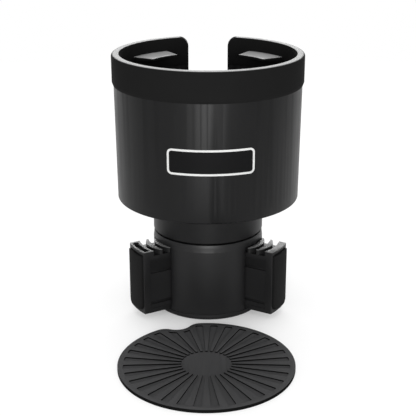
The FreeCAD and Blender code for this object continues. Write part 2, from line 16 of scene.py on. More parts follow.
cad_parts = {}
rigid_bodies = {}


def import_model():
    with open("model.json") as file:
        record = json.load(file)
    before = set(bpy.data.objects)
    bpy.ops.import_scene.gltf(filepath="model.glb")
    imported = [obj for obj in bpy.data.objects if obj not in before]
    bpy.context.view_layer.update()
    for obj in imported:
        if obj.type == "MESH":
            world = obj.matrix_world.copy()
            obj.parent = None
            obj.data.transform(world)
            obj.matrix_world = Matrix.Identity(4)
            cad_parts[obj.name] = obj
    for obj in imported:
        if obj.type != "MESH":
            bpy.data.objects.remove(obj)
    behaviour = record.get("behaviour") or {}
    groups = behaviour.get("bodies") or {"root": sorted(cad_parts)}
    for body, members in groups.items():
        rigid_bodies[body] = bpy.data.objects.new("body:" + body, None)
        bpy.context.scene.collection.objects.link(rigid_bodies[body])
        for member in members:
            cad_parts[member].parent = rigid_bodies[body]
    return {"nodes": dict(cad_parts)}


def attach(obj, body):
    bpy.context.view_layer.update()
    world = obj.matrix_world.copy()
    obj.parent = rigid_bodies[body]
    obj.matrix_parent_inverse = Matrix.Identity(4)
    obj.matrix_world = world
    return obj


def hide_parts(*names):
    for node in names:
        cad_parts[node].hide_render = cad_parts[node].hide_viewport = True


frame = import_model()

LOG = logging.getLogger("expander")
Colour = tuple[float, float, float]
Tint = Colour | bpy.types.NodeSocket
Point = tuple[float, float]
FaceTest = Callable[[bpy.types.MeshPolygon], bool]

MM = 0.001
WHITE = (1.0, 1.0, 1.0, 1.0)

# Points closer than this become one, in new pieces and in copies of CAD nodes.
WELD = 0.001 * MM
CAD_WELD = 0.002 * MM
# A copy loses the lines across its faces where they turn by less than this.
CAD_FLAT = math.radians(0.3)
# Edges that turn by less than this are shaded smooth.
SMOOTH_BELOW = math.radians(32)
# A face counts as facing up from this upward share of its normal.
FACES_UP = 0.9

# Heights of the band round the base's shoulder, whose two edges stay crisp.
SHOULDER_BAND = (40.8 * MM, 44.781 * MM)


class Body(Enum):
    """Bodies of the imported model."""

    BASE = "base"
    CUP = "cup_assembly"
    LEFT = "left_jaw"
    RIGHT = "right_jaw"
    REAR = "rear_jaw"


class Slot(Enum):
    """Names of material slots in the record."""

    CUP = "cup_moulding"
    MOULDING = "black_moulding"
    JAW = "jaw_moulding"
    RING = "ring_rubber"
    PAD = "pad_rubber"
    COASTER = "coaster_rubber"


# Side, body and azimuth in degrees of each jaw.
JAWS = (("left", Body.LEFT, 210), ("right", Body.RIGHT, 330), ("rear", Body.REAR, 90))


class Socket:
    """A number in a material, on which Python's operators add Math nodes."""

    def __init__(self, graph: "Graph", output: bpy.types.NodeSocket) -> None:
        """Wraps an output.

        Args:
            graph: The material that the output belongs to.
            output: The node's output socket.
        """
        self.graph = graph
        self.output = output

    def _maths(self, operation: str, first: "Socket | float", second: "Socket | float") -> "Socket":
        """Adds one Math node and returns its result."""
        node = self.graph.node("ShaderNodeMath", {"operation": operation}, {0: first, 1: second})
        return Socket(self.graph, node.outputs[0])

    def __add__(self, other: "Socket | float") -> "Socket":
        """Sum."""
        return self._maths("ADD", self, other)

    def __radd__(self, other: float) -> "Socket":
        """Sum with a number on the left."""
        return self._maths("ADD", other, self)

    def __sub__(self, other: "Socket | float") -> "Socket":
        """Difference."""
        return self._maths("SUBTRACT", self, other)

    def __rsub__(self, other: float) -> "Socket":
        """A number less this."""
        return self._maths("SUBTRACT", other, self)

    def __mul__(self, other: "Socket | float") -> "Socket":
        """Product."""
        return self._maths("MULTIPLY", self, other)

    def __rmul__(self, other: float) -> "Socket":
        """Product with a number on the left."""
        return self._maths("MULTIPLY", other, self)

    def most(self, other: "Socket | float") -> "Socket":
        """The larger of two."""
        return self._maths("MAXIMUM", self, other)

    def ramp(self, start: float, fade: float) -> "Socket":
        """Mask of where this is past a start.

        Args:
            start: The value at which the mask leaves 0.
            fade: How much further it takes to reach 1.

        Returns:
            The mask, from 0 to 1.
        """
        share = (self - start) * (1.0 / fade)
        clamp = self.graph.node("ShaderNodeClamp", None, {"Value": share})
        return Socket(self.graph, clamp.outputs[0])


class Graph:
    """Node tree of a material or of the world."""

    def __init__(self, owner: "bpy.types.Material | bpy.types.World") -> None:
        """Empties the owner's node tree.

        Args:
            owner: The material or world.
        """
        self.owner = owner
        owner.use_nodes = True
        self.tree = owner.node_tree
        self.tree.nodes.clear()

    @classmethod
    def of_material(cls, name: str) -> "Graph":
        """Starts a new material."""
        return cls(bpy.data.materials.new(name))

    @classmethod
    def of_world(cls, name: str) -> "Graph":
        """Starts a new world."""
        return cls(bpy.data.worlds.new(name))

    def node(self, kind: str, settings: dict | None = None, inputs: dict | None = None) -> bpy.types.Node:
        """Adds a node, sets its options first and then its sockets.

        Args:
            kind: Blender's name of the node's type.
            settings: Options such as a Math node's operation.
            inputs: Values or links, by socket name or index.

        Returns:
            The new node.
        """
        node = self.tree.nodes.new(kind)
        for key, value in (settings or {}).items():
            setattr(node, key, value)
        for key, value in (inputs or {}).items():
            if isinstance(value, Socket):
                self.tree.links.new(value.output, node.inputs[key])
            elif isinstance(value, bpy.types.NodeSocket):
                self.tree.links.new(value, node.inputs[key])
            else:
                node.inputs[key].default_value = value
        return node

    def place(self) -> bpy.types.NodeSocket:
        """The place on the piece, in metres."""
        return self.node("ShaderNodeTexCoord").outputs["Object"]

    def noise(self, cells: float, octaves: float) -> Socket:
        """Noise over the piece, by its place.

        Args:
            cells: Cells a metre.
            octaves: Layers of ever finer detail.

        Returns:
            The noise, from 0 to 1.
        """
        inputs = {"Vector": self.place(), "Scale": cells, "Detail": octaves}
        return Socket(self, self.node("ShaderNodeTexNoise", None, inputs).outputs[0])

    def height(self) -> Socket:
        """The height on the piece, in metres."""
        parts = self.node("ShaderNodeSeparateXYZ", None, {"Vector": self.place()})
        return Socket(self, parts.outputs["Z"])

    def blend(self, mask: Socket, first: Tint, second: Tint) -> bpy.types.NodeSocket:
        """Colour between two, by a mask.

        Args:
            mask: 0 for the first colour and 1 for the second.
            first: Colour at 0, or its socket.
            second: Colour at 1, or its socket.

        Returns:
            The colour's socket.
        """
        ends = [(*end, 1.0) if isinstance(end, tuple) else end for end in (first, second)]
        inputs = {"Factor": mask, 6: ends[0], 7: ends[1]}
        return self.node("ShaderNodeMix", {"data_type": "RGBA"}, inputs).outputs[2]

    def finish(self, inputs: dict) -> bpy.types.Material:
        """Closes the tree with a Principled shader.

        Args:
            inputs: Its sockets' values or links.

        Returns:
            The material.
        """
        shader = self.node("ShaderNodeBsdfPrincipled", None, inputs)
        self.node("ShaderNodeOutputMaterial", None, {"Surface": shader.outputs[0]})
        return self.owner


def scaled(colour: Colour, factor: float) -> Colour:
    """Colour times a factor."""
    return (colour[0] * factor, colour[1] * factor, colour[2] * factor)


@dataclass(frozen=True)
class Moulded:
    """Moulded plastic or rubber with a fine grain, faint clouds in its tone and, on some, a painted
    highlight on its top.

    Attributes:
        name: The material's name.
        colour: Base colour.
        roughness: Mean roughness.
        grain: Height of the grain in metres.
        cells: Grains a metre.
        sheen: Specular level.
        painted_highlight_above: Height in metres above which a highlight is painted lighter into the
            colour, 0 for nowhere.
        painted_highlight: Colour of that painted highlight.
        grain_octaves: The grain's layers of detail.
        cloud_cells: Clouds a metre.
        cloud_octaves: The clouds' layers of detail.
        cloud_share: Share of the clouds in the tone; the grain has the rest.
        tone_spread: How far the tone strays from the base colour.
        gloss_spread: How far the clouds change the roughness.
        painted_highlight_fade: Height over which the painted highlight sets in.
        painted_highlight_least: Its least strength.
        painted_highlight_clouds: What the clouds add to that.
    """

    name: str
    colour: Colour
    roughness: float
    grain: float
    cells: float
    sheen: float
    painted_highlight_above: float = 0.0
    painted_highlight: Colour = (0.0, 0.0, 0.0)
    grain_octaves: ClassVar[float] = 3.0
    cloud_cells: ClassVar[float] = 55.0
    cloud_octaves: ClassVar[float] = 4.0
    cloud_share: ClassVar[float] = 0.6
    tone_spread: ClassVar[float] = 0.2
    gloss_spread: ClassVar[float] = 0.08
    painted_highlight_fade: ClassVar[float] = 0.3 * MM
    painted_highlight_least: ClassVar[float] = 0.75
    painted_highlight_clouds: ClassVar[float] = 0.5

    def material(self) -> bpy.types.Material:
        """Builds the material.

        Returns:
            The material.
        """
        graph = Graph.of_material(self.name)
        grain = graph.noise(self.cells, self.grain_octaves)
        cloud = graph.noise(self.cloud_cells, self.cloud_octaves)
        mottle = self.cloud_share * cloud + (1 - self.cloud_share) * grain
        dark = scaled(self.colour, 1 - self.tone_spread)
        tone = graph.blend(mottle, dark, scaled(self.colour, 1 + self.tone_spread))
        # Painted highlight: above a height the colour turns lighter, standing in for top light on the
        # upper faces.
        if self.painted_highlight_above:
            painted_highlight_mask = graph.height().ramp(self.painted_highlight_above, self.painted_highlight_fade)
            tone = graph.blend(painted_highlight_mask * (self.painted_highlight_least + self.painted_highlight_clouds * cloud), tone, self.painted_highlight)
        relief = {"Strength": 1.0, "Distance": self.grain, "Height": grain}
        return graph.finish({
            "Base Color": tone,
            "Roughness": self.roughness + self.gloss_spread * (cloud - 0.5),
            "Specular IOR Level": self.sheen,
            "Normal": graph.node("ShaderNodeBump", None, relief).outputs[0],
        })


@dataclass(frozen=True)
class Zinc:
    """Zinc-plated steel with dull spots.

    Attributes:
        name: The material's name.
        colour: Colour of the bright plating.
        roughness: Mean roughness.
        spot_cells: Spots a metre.
        spot_octaves: Layers of detail of the spots.
        spot_tone: Tone of a spot against the plating.
        gloss_spread: How far the spots change the roughness.
    """

    name: str
    colour: Colour
    roughness: float
    spot_cells: ClassVar[float] = 900.0
    spot_octaves: ClassVar[float] = 3.0
    spot_tone: ClassVar[float] = 0.85
    gloss_spread: ClassVar[float] = 0.2

    def material(self) -> bpy.types.Material:
        """Builds the material.

        Returns:
            The material.
        """
        graph = Graph.of_material(self.name)
        spots = graph.noise(self.spot_cells, self.spot_octaves)
        return graph.finish({
            "Base Color": graph.blend(spots, scaled(self.colour, self.spot_tone), self.colour),
            "Metallic": 1.0,
            "Roughness": self.roughness + self.gloss_spread * (spots - 0.5),
        })


Finish = Moulded | Zinc

CUP_PLASTIC = Moulded(
    "cup_satin_black", colour=(0.003, 0.003, 0.0032), roughness=0.44,
    grain=4e-6, cells=2600.0, sheen=0.15)
BODY_PLASTIC = Moulded(
    "base_satin_black", colour=(0.0045, 0.0045, 0.0048), roughness=0.46,
    grain=3e-6, cells=2600.0, sheen=0.24)
# The jaws' tops get a painted highlight: lighter grey above 40.45 mm, standing in for top light.
JAW_PLASTIC = Moulded(
    "jaw_grained_black", colour=(0.0065, 0.0065, 0.0067), roughness=0.42,
    grain=6e-6, cells=2200.0, sheen=0.13, painted_highlight_above=40.45 * MM, painted_highlight=(0.17, 0.17, 0.17))
DARK_NYLON = Moulded(
    "dark_nylon", colour=(0.016, 0.016, 0.016), roughness=0.5,
    grain=3e-6, cells=1800.0, sheen=0.35)
# The ring's top gets a painted highlight: pale grey above 146.5 mm, standing in for top light.
RING_RUBBER = Moulded(
    "ring_soft_rubber", colour=(0.0075, 0.0075, 0.0075), roughness=0.75,
    grain=6e-6, cells=3200.0, sheen=0.02, painted_highlight_above=146.5 * MM, painted_highlight=(0.40, 0.40, 0.40))
# Painted highlight: the fins are black rubber, and their upward faces get this pale grey for the top
# light on them.
FIN_TOP_HIGHLIGHT = Moulded(
    "fin_top_painted_highlight", colour=(0.27, 0.27, 0.27), roughness=0.55,
    grain=6e-6, cells=3200.0, sheen=0.3)
PAD_RUBBER = Moulded(
    "pad_rubber", colour=(0.007, 0.007, 0.007), roughness=0.65,
    grain=8e-6, cells=2600.0, sheen=0.03)
COASTER_RUBBER = Moulded(
    "coaster_rubber", colour=(0.040, 0.040, 0.041), roughness=0.85,
    grain=9e-6, cells=2400.0, sheen=0.12)
# Painted shade: the coaster's steep walls are darkened for the shade in its grooves and recesses.
COASTER_WALL_SHADE = Moulded(
    "coaster_wall_painted_shade", colour=(0.004, 0.004, 0.004), roughness=0.9,
    grain=9e-6, cells=2400.0, sheen=0.02)
LABEL_FIELD = Moulded(
    "label_black_field", colour=(0.005, 0.005, 0.0052), roughness=0.5,
    grain=2e-6, cells=3000.0, sheen=0.03)
LABEL_BORDER = Moulded(
    "label_pale_border", colour=(0.46, 0.46, 0.455), roughness=0.5,
    grain=2e-6, cells=3000.0, sheen=0.2)
SCREW_STEEL = Zinc("screw_zinc", colour=(0.55, 0.55, 0.56), roughness=0.32)

NODES_BY_FINISH = {
    BODY_PLASTIC: ("base_housing", "base_top_plate", "base_cover"),
    CUP_PLASTIC: ("cup", "neck_collar"),
    DARK_NYLON: ("scroll_plate", "friction_washer"),
    SCREW_STEEL: ("base_cover_screws", "scroll_screws", "cup_screws"),
    RING_RUBBER: ("grip_ring",),
    COASTER_RUBBER: ("coaster",),
    JAW_PLASTIC: ("jaw_left", "jaw_right", "jaw_rear"),
    PAD_RUBBER: ("jaw_pad_left", "jaw_pad_right", "jaw_pad_rear"),
}


class Finishes:
    """Makes each finish's material once."""

    def __init__(self) -> None:
        """Starts with none made."""
        self.made: dict[str, bpy.types.Material] = {}

    def of(self, finish: Finish) -> bpy.types.Material:
        """Finds a finish's material, and makes it at its first use.

        Args:
            finish: The finish.

        Returns:
            Its material.
        """
        if finish.name not in self.made:
            self.made[finish.name] = finish.material()
        return self.made[finish.name]

    def dress(self, piece: bpy.types.Object, finish: Finish) -> None:
        """Puts a finish on all of a piece.

        Args:
            piece: The piece or CAD node.
            finish: Its finish.
        """
        material = self.of(finish)
        if not piece.material_slots:
            piece.data.materials.append(material)
        for place in piece.material_slots:
            place.material = material

    def tint(self, piece: bpy.types.Object, finish: Finish, wanted: FaceTest) -> None:
        """Gives the wanted faces of a dressed piece a second finish.

        Args:
            piece: The piece.
            finish: The second finish.
            wanted: Tells whether a face gets it.
        """
        piece.data.materials.append(self.of(finish))
        last = len(piece.data.materials) - 1
        for face in piece.data.polygons:
            if wanted(face):
                face.material_index = last


def faces_up(face: bpy.types.MeshPolygon) -> bool:
    """Tells whether a face points nearly straight up."""
    return face.normal.z > FACES_UP


def arc(centre: Point, radius: float, start: float, end: float, steps: int) -> list[Point]:
    """Points along an arc, both ends included.

    Args:
        centre: Its centre.
        radius: Its radius.
        start: First angle in radians.
        end: Last angle, smaller than the first for a clockwise arc.
        steps: Number of parts.

    Returns:
        The points.
    """
    angles = [start + (end - start) * index / steps for index in range(steps + 1)]
    return [(centre[0] + radius * math.cos(angle), centre[1] + radius * math.sin(angle))
            for angle in angles]


def rounded(corners: list[tuple[float, float, float]], steps: int = 4) -> list[Point]:
    """Outline with an arc at each corner.

    Args:
        corners: Each corner's two coordinates and the radius of its arc, 0 for a sharp one.
        steps: Parts of each arc.

    Returns:
        The outline's points.
    """
    points: list[Point] = []
    for index, (across, along, radius) in enumerate(corners):
        if radius == 0:
            points.append((across, along))
            continue
        here = Vector((across, along))
        before = (Vector(corners[index - 1][:2]) - here).normalized()
        after = (Vector(corners[(index + 1) % len(corners)][:2]) - here).normalized()
        half = before.angle(after) / 2
        centre = here + (before + after).normalized() * (radius / math.sin(half))
        first = here + before * (radius / math.tan(half)) - centre
        last = here + after * (radius / math.tan(half)) - centre
        start = math.atan2(first.y, first.x)
        points += arc((centre.x, centre.y), radius, start, start - first.angle_signed(last), steps)
    return points


class Bench:
    """Modelling by operators, with nothing selected that isn't meant."""

    @staticmethod
    def clear() -> None:
        """Leaves edit mode and deselects every object."""
        if bpy.context.object and bpy.context.object.mode != "OBJECT":
            bpy.ops.object.mode_set(mode="OBJECT")
        for item in bpy.context.scene.objects:
            item.select_set(False)

    @staticmethod
    def pick(piece: bpy.types.Object) -> None:
        """Makes a piece the only selected and active object.

        Args:
            piece: The piece.
        """
        Bench.clear()
        piece.select_set(True)
        bpy.context.view_layer.objects.active = piece

    @staticmethod
    def settle(piece: bpy.types.Object) -> None:
        """Puts the piece's place into its mesh and its object at the origin."""
        Bench.pick(piece)
        bpy.ops.object.transform_apply(location=True, rotation=True, scale=True)

    @staticmethod
    def edit(piece: bpy.types.Object) -> None:
        """Opens a piece in edit mode with all of it selected.

        Args:
            piece: The piece.
        """
        Bench.pick(piece)
        bpy.ops.object.mode_set(mode="EDIT")
        bpy.ops.mesh.select_all(action="SELECT")

    @staticmethod
    def choose(piece: bpy.types.Object, wanted: FaceTest) -> None:
        """Opens a piece in edit mode with the wanted faces selected.

        Args:
            piece: The piece.
            wanted: Tells whether a face is wanted.
        """
        bpy.context.tool_settings.mesh_select_mode = (False, False, True)
        Bench.edit(piece)
        bpy.ops.mesh.select_all(action="DESELECT")
        bpy.ops.object.mode_set(mode="OBJECT")
        for face in piece.data.polygons:
            face.select = wanted(face)
        bpy.ops.object.mode_set(mode="EDIT")

    @staticmethod
    def close() -> None:
        """Welds the open piece, closes its holes, turns its faces outwards and leaves edit mode."""
        bpy.ops.mesh.select_all(action="SELECT")
        bpy.ops.mesh.remove_doubles(threshold=WELD)
        bpy.ops.mesh.fill_holes(sides=0)
        bpy.ops.mesh.select_all(action="SELECT")
        bpy.ops.mesh.normals_make_consistent(inside=False)
        bpy.ops.object.mode_set(mode="OBJECT")

    @staticmethod
    def outline(name: str, points: list[Vector], filled: bool) -> bpy.types.Object:
        """Adds a circle and moves its corners to an outline's points.

        Args:
            name: The piece's name.
            points: The outline in order.
            filled: Whether it gets a face.

        Returns:
            The piece.
        """
        Bench.clear()
        fill = "NGON" if filled else "NOTHING"
        bpy.ops.mesh.primitive_circle_add(
            vertices=len(points), radius=10 * MM, fill_type=fill, location=(0, 0, 0))
        piece = bpy.context.object
        piece.name = name
        for vertex, point in zip(piece.data.vertices, points):
            vertex.co = point
        return piece

    @staticmethod
    def prism(name: str, points: list[Vector], sweep: Vector) -> bpy.types.Object:
        """Extrudes an outline.

        Args:
            name: The piece's name.
            points: The outline in order.
            sweep: How far and where it is extruded.

        Returns:
            The piece.
        """
        piece = Bench.outline(name, points, True)
        Bench.edit(piece)
        bpy.ops.mesh.extrude_region_move(TRANSFORM_OT_translate={"value": sweep})
        Bench.close()
        return piece

    @staticmethod
    def lathe(name: str, profile: list[Point], steps: int) -> bpy.types.Object:
        """Spins a closed profile of radius and height once round the axis.

        Args:
            name: The piece's name.
            profile: The profile's points.
            steps: Parts of the turn.

        Returns:
            The piece.
        """
        piece = Bench.outline(name, [Vector((radius, 0.0, height)) for radius, height in profile], False)
        Bench.edit(piece)
        bpy.ops.mesh.spin(steps=steps, angle=2 * math.pi, center=(0, 0, 0), axis=(0, 0, 1))
        Bench.close()
        return piece

    @staticmethod
    def cut(piece: bpy.types.Object, tool: bpy.types.Object) -> None:
        """Takes a tool's space out of a piece and deletes the tool.

        Args:
            piece: The piece.
            tool: The tool, a closed mesh.
        """
        Bench.pick(piece)
        modifier = piece.modifiers.new("cut", "BOOLEAN")
        modifier.operation = "DIFFERENCE"
        modifier.solver = "EXACT"
        modifier.object = tool
        bpy.ops.object.modifier_apply(modifier=modifier.name)
        bpy.data.objects.remove(tool)

    @staticmethod
    def smooth(piece: bpy.types.Object) -> None:
        """Shades a piece smooth over all but its sharp edges."""
        Bench.pick(piece)
        bpy.ops.object.shade_smooth_by_angle(angle=SMOOTH_BELOW)

    @staticmethod
    def soften(piece: bpy.types.Object, width: float, segments: int = 2, corner: float = 40.0) -> None:
        """Rounds the sharp edges and smooths the rest.

        Args:
            piece: The piece.
            width: Width of the rounding.
            segments: Its parts.
            corner: Least angle of an edge that is rounded, in degrees.
        """
        Bench.pick(piece)
        modifier = piece.modifiers.new("soft_edges", "BEVEL")
        modifier.width = width
        modifier.segments = segments
        modifier.limit_method = "ANGLE"
        modifier.angle_limit = math.radians(corner)
        modifier.harden_normals = False
        bpy.ops.object.modifier_apply(modifier=modifier.name)
        Bench.smooth(piece)

    @staticmethod
    def columns(piece: bpy.types.Object, half: float, count: int, normal: Vector) -> None:
        """Divides a piece by planes, so that it can be bent.

        Args:
            piece: The piece.
            half: Distance of the first and of the last plane from the origin.
            count: Number of gaps between planes.
            normal: The planes' normal.
        """
        Bench.edit(piece)
        for index in range(count + 1):
            bpy.ops.mesh.select_all(action="SELECT")
            place = normal * (2 * half * index / count - half)
            bpy.ops.mesh.bisect(plane_co=place, plane_no=normal)
        bpy.ops.object.mode_set(mode="OBJECT")

    @staticmethod
    def turned(piece: bpy.types.Object, azimuth: float) -> None:
        """Turns a piece's mesh about the axis by an azimuth in radians."""
        piece.data.transform(Matrix.Rotation(azimuth, 4, "Z"))

    @staticmethod
    def twin(name: str, node: str) -> bpy.types.Object:
        """Copies a CAD node's mesh, welded and without the lines across its flat faces.

        Args:
            name: The copy's name.
            node: The node.

        Returns:
            The copy.
        """
        source = frame["nodes"][node]
        piece = bpy.data.objects.new(name, source.data.copy())
        piece.matrix_world = source.matrix_world.copy()
        bpy.context.scene.collection.objects.link(piece)
        Bench.edit(piece)
        bpy.ops.mesh.remove_doubles(threshold=CAD_WELD)
        bpy.ops.mesh.dissolve_limited(angle_limit=CAD_FLAT)
        bpy.ops.object.mode_set(mode="OBJECT")
        return piece


def fitted(piece: bpy.types.Object, body: Body, node: str | None = None) -> None:
    """Hands a finished piece to the frame.

    Args:
        piece: The piece.
        body: The body that it moves with.
        node: The CAD node that it stands for, if any.
    """
    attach(piece, body.value)
    if node:
        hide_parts(node)
    LOG.info("built %s with %d faces", piece.name, len(piece.data.polygons))


@dataclass
class GripRing:
    """Rubber ring on the rim: an upside-down channel, open at the back, with four fins.

    Attributes:
        top: Height of its top.
        low: Height of its lower edge.
        rim: Height of the cup's rim, where the groove ends.
        outer: Outer radius.
        groove_outer: Outer radius of the groove for the cup's wall.
        groove_inner: Inner radius of the groove.
        bore: Inner radius.
        foot_round: Rounding of the lower edge inside.
        hem: Width of the lower edge outside.
        hem_round: Rounding of that edge.
        hem_rise: Height over which the outer side widens from the hem.
        flank_round: Rounding above the hem.
        top_round: Rounding of the top edge outside.
        mouth_round: Rounding of the top edge inside.
        gap_half: Half of the gap at the back.
        end_corner: Rounding of the two ends' upper corners.
        end_parts: Parts of that rounding.
        tool_over: How far the gap's tool reaches past the ring.
        tool_near: Where it starts behind the axis.
        tool_depth: How far back it goes from there.
        edge_ease: Rounding of the other edges.
        edge_corner: Least angle of an edge of the ring so rounded, in degrees.
        steps: Parts of the turn.
        fin_azimuths: Each fin's middle, in degrees.
        fin_top: Height of the fins' middle plane.
        fin_tip: Radius of the fins' tips.
        fin_sunk: How deep their roots lie in the ring.
        fin_half_span: Half of a fin's width as an angle.
        fin_root_thick: Thickness at the root.
        fin_tip_thick: Thickness at the tip.
        fin_parts: Parts of a fin across and along.
    """

    top: float = 146.8 * MM
    low: float = 130.2 * MM
    rim: float = 143.8 * MM
    outer: float = 52.93 * MM
    groove_outer: float = 52.25 * MM
    groove_inner: float = 49.78 * MM
    bore: float = 48.8 * MM
    foot_round: float = 0.3 * MM
    hem: float = 0.15 * MM
    hem_round: float = 0.1 * MM
    hem_rise: float = 1.5 * MM
    flank_round: float = 0.9 * MM
    top_round: float = 1.4 * MM
    mouth_round: float = 0.25 * MM
    gap_half: float = 11.7 * MM
    end_corner: float = 6.3 * MM
    end_parts: int = 16
    tool_over: float = 4 * MM
    tool_near: float = 20 * MM
    tool_depth: float = 50 * MM
    edge_ease: float = 0.3 * MM
    edge_corner: float = 50.0
    steps: int = 160
    fin_azimuths: tuple[int, ...] = (45, 135, 225, 315)
    fin_top: float = 139.3 * MM
    fin_tip: float = 35.7 * MM
    fin_sunk: float = 0.3 * MM
    fin_half_span: float = math.radians(15.5)
    fin_root_thick: float = 3.0 * MM
    fin_tip_thick: float = 1.4 * MM
    fin_parts: tuple[int, int] = (22, 5)

    def profile(self) -> list[Point]:
        """Draws the channel's section, with rounded outer corners.

        Returns:
            Its points, each a radius and a height.
        """
        return rounded([
            (self.bore, self.low, self.foot_round),
            (self.groove_inner, self.low, 0.0),
            (self.groove_inner, self.rim, 0.0),
            (self.groove_outer, self.rim, 0.0),
            (self.groove_outer, self.low, 0.0),
            (self.groove_outer + self.hem, self.low, self.hem_round),
            (self.outer, self.low + self.hem_rise, self.flank_round),
            (self.outer, self.top, self.top_round),
            (self.bore, self.top, self.mouth_round),
        ])

    def gap_tool(self, half: float, foot: float, skip: int = 0) -> bpy.types.Object:
        """Models a block that rounds the two ends at the gap and clears what is between them.

        Args:
            half: Half of the block's width at its foot.
            foot: The height of its foot.
            skip: How many points of each rounding are left out at its lower end.

        Returns:
            The block.
        """
        wide = self.gap_half + self.end_corner
        turn = self.top - self.end_corner
        left = arc((-wide, turn), self.end_corner, 0.0, math.pi / 2, self.end_parts)[skip:]
        right = [(-across, height) for across, height in reversed(left)]
        above = self.top + self.tool_over
        shape = [(-half, foot), *left, (-wide, above), (wide, above), *right, (half, foot)]
        points = [Vector((across, self.tool_near, height)) for across, height in shape]
        return Bench.prism("gap_tool", points, Vector((0.0, self.tool_depth, 0.0)))

    def fin(self, name: str, azimuth: float) -> bpy.types.Object:
        """Models one fin from a slab of -1 to 1 bent round the axis, thicker at its root.

        Args:
            name: Its name.
            azimuth: Its middle's azimuth in radians.

        Returns:
            The fin.
        """
        Bench.clear()
        across, along = self.fin_parts
        bpy.ops.mesh.primitive_grid_add(
            x_subdivisions=across, y_subdivisions=along, size=2.0, location=(0, 0, 0))
        fin = bpy.context.object
        fin.name = name
        Bench.edit(fin)
        bpy.ops.mesh.extrude_region_move(TRANSFORM_OT_translate={"value": (0, 0, -1.0)})
        Bench.close()
        root = self.bore + self.fin_sunk
        for vertex in fin.data.vertices:
            share = (vertex.co.y + 1) / 2
            angle = azimuth - vertex.co.x * self.fin_half_span
            radius = self.fin_tip + (root - self.fin_tip) * share
            thick = self.fin_tip_thick + (self.fin_root_thick - self.fin_tip_thick) * share
            height = self.fin_top + vertex.co.z * thick
            vertex.co = Vector((radius * math.cos(angle), radius * math.sin(angle), height))
        Bench.soften(fin, self.edge_ease)
        return fin

    def build(self, finishes: Finishes) -> None:
        """Models the ring and its fins.

        Args:
            finishes: The scene's materials.
        """
        ring = Bench.lathe("rim_ring", self.profile(), self.steps)
        Bench.cut(ring, self.gap_tool(self.gap_half, self.low - self.tool_over))
        Bench.soften(ring, self.edge_ease, corner=self.edge_corner)
        finishes.dress(ring, RING_RUBBER)
        for number, azimuth in enumerate(self.fin_azimuths, 1):
            fin = self.fin(f"rim_fin_{number}", math.radians(azimuth))
            finishes.dress(fin, RING_RUBBER)
            # The fins' upward faces get a painted highlight.
            finishes.tint(fin, FIN_TOP_HIGHLIGHT, faces_up)
            fitted(fin, Body.CUP)
        fitted(ring, Body.CUP, "grip_ring")


@dataclass
class Cup:
    """The cup with the upper corners of its handle slot rounded as the ring's ends are.

    Attributes:
        ring: The ring on its rim.
        tuck: How far the slot's tool stays inside the ring's gap.
        ease: Rounding of the cup's sharp edges.
    """

    ring: GripRing
    tuck: float = 0.2 * MM
    ease: float = 0.25 * MM

    def build(self, finishes: Finishes) -> None:
        """Models the cup on a welded copy of its node.

        Args:
            finishes: The scene's materials.
        """
        cup = Bench.twin("moulded_cup", "cup")
        foot = self.ring.top - self.ring.end_corner
        Bench.cut(cup, self.ring.gap_tool(self.ring.gap_half - self.tuck, foot, skip=1))
        Bench.soften(cup, self.ease)
        finishes.dress(cup, CUP_PLASTIC)
        fitted(cup, Body.CUP, "cup")


